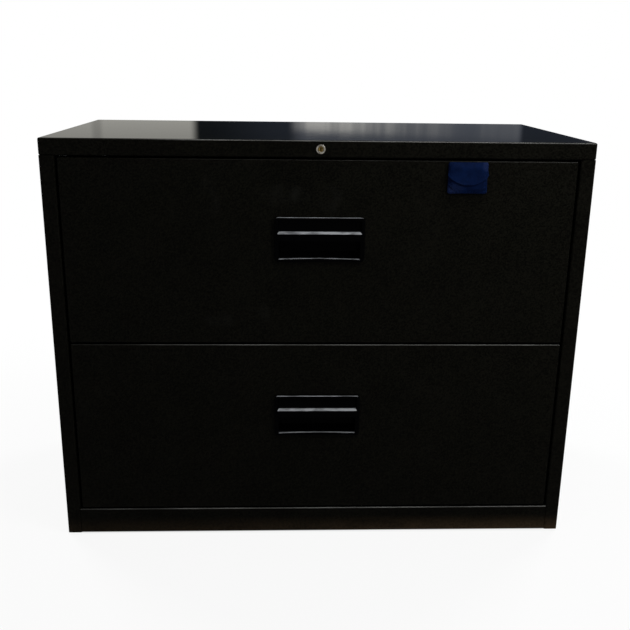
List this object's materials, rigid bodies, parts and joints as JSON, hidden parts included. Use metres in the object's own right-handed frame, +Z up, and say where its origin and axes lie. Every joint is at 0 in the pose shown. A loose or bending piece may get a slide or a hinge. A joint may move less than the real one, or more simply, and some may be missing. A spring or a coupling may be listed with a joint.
{
  "type": "lateral filing cabinet",
  "caption": "Low lateral filing cabinet in folded black sheet steel: wide drawers on telescopic slides, moulded cup pulls, a key lock in the top rail and levelling glides.",
  "frame": {"origin": "on the floor under the middle of the case; the box's bottom centre, within the few millimetres that the pulls and the pouch stand out in front", "axes": "+X across the front to the right, +Y from the front to the back, +Z up"},
  "size_m": [0.9144, 0.4677, 0.721],
  "materials": {
    "black_enamel": "smooth black baked enamel, semi-gloss",
    "black_moulding": "glossy black moulded plastic",
    "zinc_steel": "zinc-plated steel",
    "chrome": "nickel-plated",
    "brass": "worn brass",
    "cast_iron": "raw cast",
    "grey_nylon": "moulded nylon",
    "magnet_rubber": "magnetic rubber sheet",
    "blue_cloth": "woven navy cloth"
  },
  "bodies": {
    "case": {"top_cap": "black_enamel", "back_panel": "black_enamel", "base_front_rail": "black_enamel", "base_pan": "black_enamel", "left_side_panel": "black_enamel", "right_side_panel": "black_enamel", "counterweight": "cast_iron", "left_base_runner": "zinc_steel", "right_base_runner": "zinc_steel", "left_front_upright": "zinc_steel", "left_rear_upright": "zinc_steel", "right_front_upright": "zinc_steel", "right_rear_upright": "zinc_steel", "lock_housing": "chrome", "lock_nut": "zinc_steel", "lock_bar_lower_bearing": "zinc_steel", "lock_bar_upper_bearing": "zinc_steel", "upper_left_slide_case_member": "zinc_steel", "upper_right_slide_case_member": "zinc_steel", "lower_left_slide_case_member": "zinc_steel", "lower_right_slide_case_member": "zinc_steel"},
    "upper_drawer": {"upper_drawer_front": "black_enamel", "upper_drawer_tray": "black_enamel", "upper_drawer_pull": "black_moulding", "upper_front_hanging_rail": "zinc_steel", "upper_rear_hanging_rail": "zinc_steel", "upper_lock_strike": "zinc_steel", "upper_left_slide_drawer_member": "zinc_steel", "upper_right_slide_drawer_member": "zinc_steel", "key_pouch_magnet": "magnet_rubber", "key_pouch_body": "blue_cloth"},
    "upper_slide_middles": {"upper_left_slide_middle_member": "zinc_steel", "upper_right_slide_middle_member": "zinc_steel"},
    "upper_case_cages": {"upper_left_slide_case_cage": "zinc_steel", "upper_right_slide_case_cage": "zinc_steel"},
    "upper_drawer_cages": {"upper_left_slide_drawer_cage": "zinc_steel", "upper_right_slide_drawer_cage": "zinc_steel"},
    "lower_drawer": {"lower_drawer_front": "black_enamel", "lower_drawer_tray": "black_enamel", "lower_drawer_pull": "black_moulding", "lower_front_hanging_rail": "zinc_steel", "lower_rear_hanging_rail": "zinc_steel", "lower_lock_strike": "zinc_steel", "lower_left_slide_drawer_member": "zinc_steel", "lower_right_slide_drawer_member": "zinc_steel"},
    "lower_slide_middles": {"lower_left_slide_middle_member": "zinc_steel", "lower_right_slide_middle_member": "zinc_steel"},
    "lower_case_cages": {"lower_left_slide_case_cage": "zinc_steel", "lower_right_slide_case_cage": "zinc_steel"},
    "lower_drawer_cages": {"lower_left_slide_drawer_cage": "zinc_steel", "lower_right_slide_drawer_cage": "zinc_steel"},
    "lock_plug": {"lock_plug": "brass", "lock_cam": "zinc_steel"},
    "lock_link": {"lock_link": "black_enamel"},
    "lock_bar": {"lock_bar": "zinc_steel"},
    "key_pouch_flap": {"key_pouch_flap": "blue_cloth"},
    "left_front_glide": {"left_front_glide": "grey_nylon"},
    "left_rear_glide": {"left_rear_glide": "grey_nylon"},
    "right_front_glide": {"right_front_glide": "grey_nylon"},
    "right_rear_glide": {"right_rear_glide": "grey_nylon"}
  },
  "joints": [
    {"name": "upper_drawer_slide", "type": "slide", "parent": "case", "child": "upper_drawer", "axis": [0, -1, 0], "range_m": [0, 0.4]},
    {"name": "upper_middle_slide", "type": "slide", "parent": "case", "child": "upper_slide_middles", "axis": [0, -1, 0], "range_m": [0, 0.2]},
    {"name": "upper_case_cage_roll", "type": "slide", "parent": "case", "child": "upper_case_cages", "axis": [0, -1, 0], "range_m": [0, 0.1]},
    {"name": "upper_drawer_cage_roll", "type": "slide", "parent": "case", "child": "upper_drawer_cages", "axis": [0, -1, 0], "range_m": [0, 0.3]},
    {"name": "lower_drawer_slide", "type": "slide", "parent": "case", "child": "lower_drawer", "axis": [0, -1, 0], "range_m": [0, 0.4]},
    {"name": "lower_middle_slide", "type": "slide", "parent": "case", "child": "lower_slide_middles", "axis": [0, -1, 0], "range_m": [0, 0.2]},
    {"name": "lower_case_cage_roll", "type": "slide", "parent": "case", "child": "lower_case_cages", "axis": [0, -1, 0], "range_m": [0, 0.1]},
    {"name": "lower_drawer_cage_roll", "type": "slide", "parent": "case", "child": "lower_drawer_cages", "axis": [0, -1, 0], "range_m": [0, 0.3]},
    {"name": "lock_plug_turn", "type": "hinge", "parent": "case", "child": "lock_plug", "pos_m": [0, -0.2, 0.707], "axis": [0, 1, 0], "range_deg": [0, 90]},
    {"name": "lock_link_slide", "type": "slide", "parent": "case", "child": "lock_link", "axis": [-1, 0, 0], "range_m": [0, 0.01414]},
    {"name": "lock_bar_turn", "type": "hinge", "parent": "case", "child": "lock_bar", "pos_m": [0.44, -0.1786, 0.35], "axis": [0, 0, -1], "range_deg": [0, 70.01]},
    {"name": "key_pouch_flap_lift", "type": "hinge", "parent": "upper_drawer", "child": "key_pouch_flap", "pos_m": [0.245, -0.2391, 0.6856], "axis": [-1, 0, 0], "range_deg": [0, 120]},
    {"name": "left_front_glide_turn", "type": "hinge", "parent": "case", "child": "left_front_glide", "pos_m": [-0.4342, -0.1686, 0], "axis": [0, 0, 1], "continuous": true},
    {"name": "left_rear_glide_turn", "type": "hinge", "parent": "case", "child": "left_rear_glide", "pos_m": [-0.4342, 0.1946, 0], "axis": [0, 0, 1], "continuous": true},
    {"name": "right_front_glide_turn", "type": "hinge", "parent": "case", "child": "right_front_glide", "pos_m": [0.4342, -0.1686, 0], "axis": [0, 0, 1], "continuous": true},
    {"name": "right_rear_glide_turn", "type": "hinge", "parent": "case", "child": "right_rear_glide", "pos_m": [0.4342, 0.1946, 0], "axis": [0, 0, 1], "continuous": true}
  ],
  "couplings": [
    {"joint": "upper_middle_slide", "follows": "upper_drawer_slide", "ratio": 0.5},
    {"joint": "upper_case_cage_roll", "follows": "upper_drawer_slide", "ratio": 0.25},
    {"joint": "upper_drawer_cage_roll", "follows": "upper_drawer_slide", "ratio": 0.75},
    {"joint": "lower_middle_slide", "follows": "lower_drawer_slide", "ratio": 0.5},
    {"joint": "lower_case_cage_roll", "follows": "lower_drawer_slide", "ratio": 0.25},
    {"joint": "lower_drawer_cage_roll", "follows": "lower_drawer_slide", "ratio": 0.75},
    {"joint": "lock_plug_turn", "follows": "lock_link_slide", "rad_per_m": 111.07},
    {"joint": "lock_bar_turn", "follows": "lock_link_slide", "rad_per_m": 86.389}
  ]
}
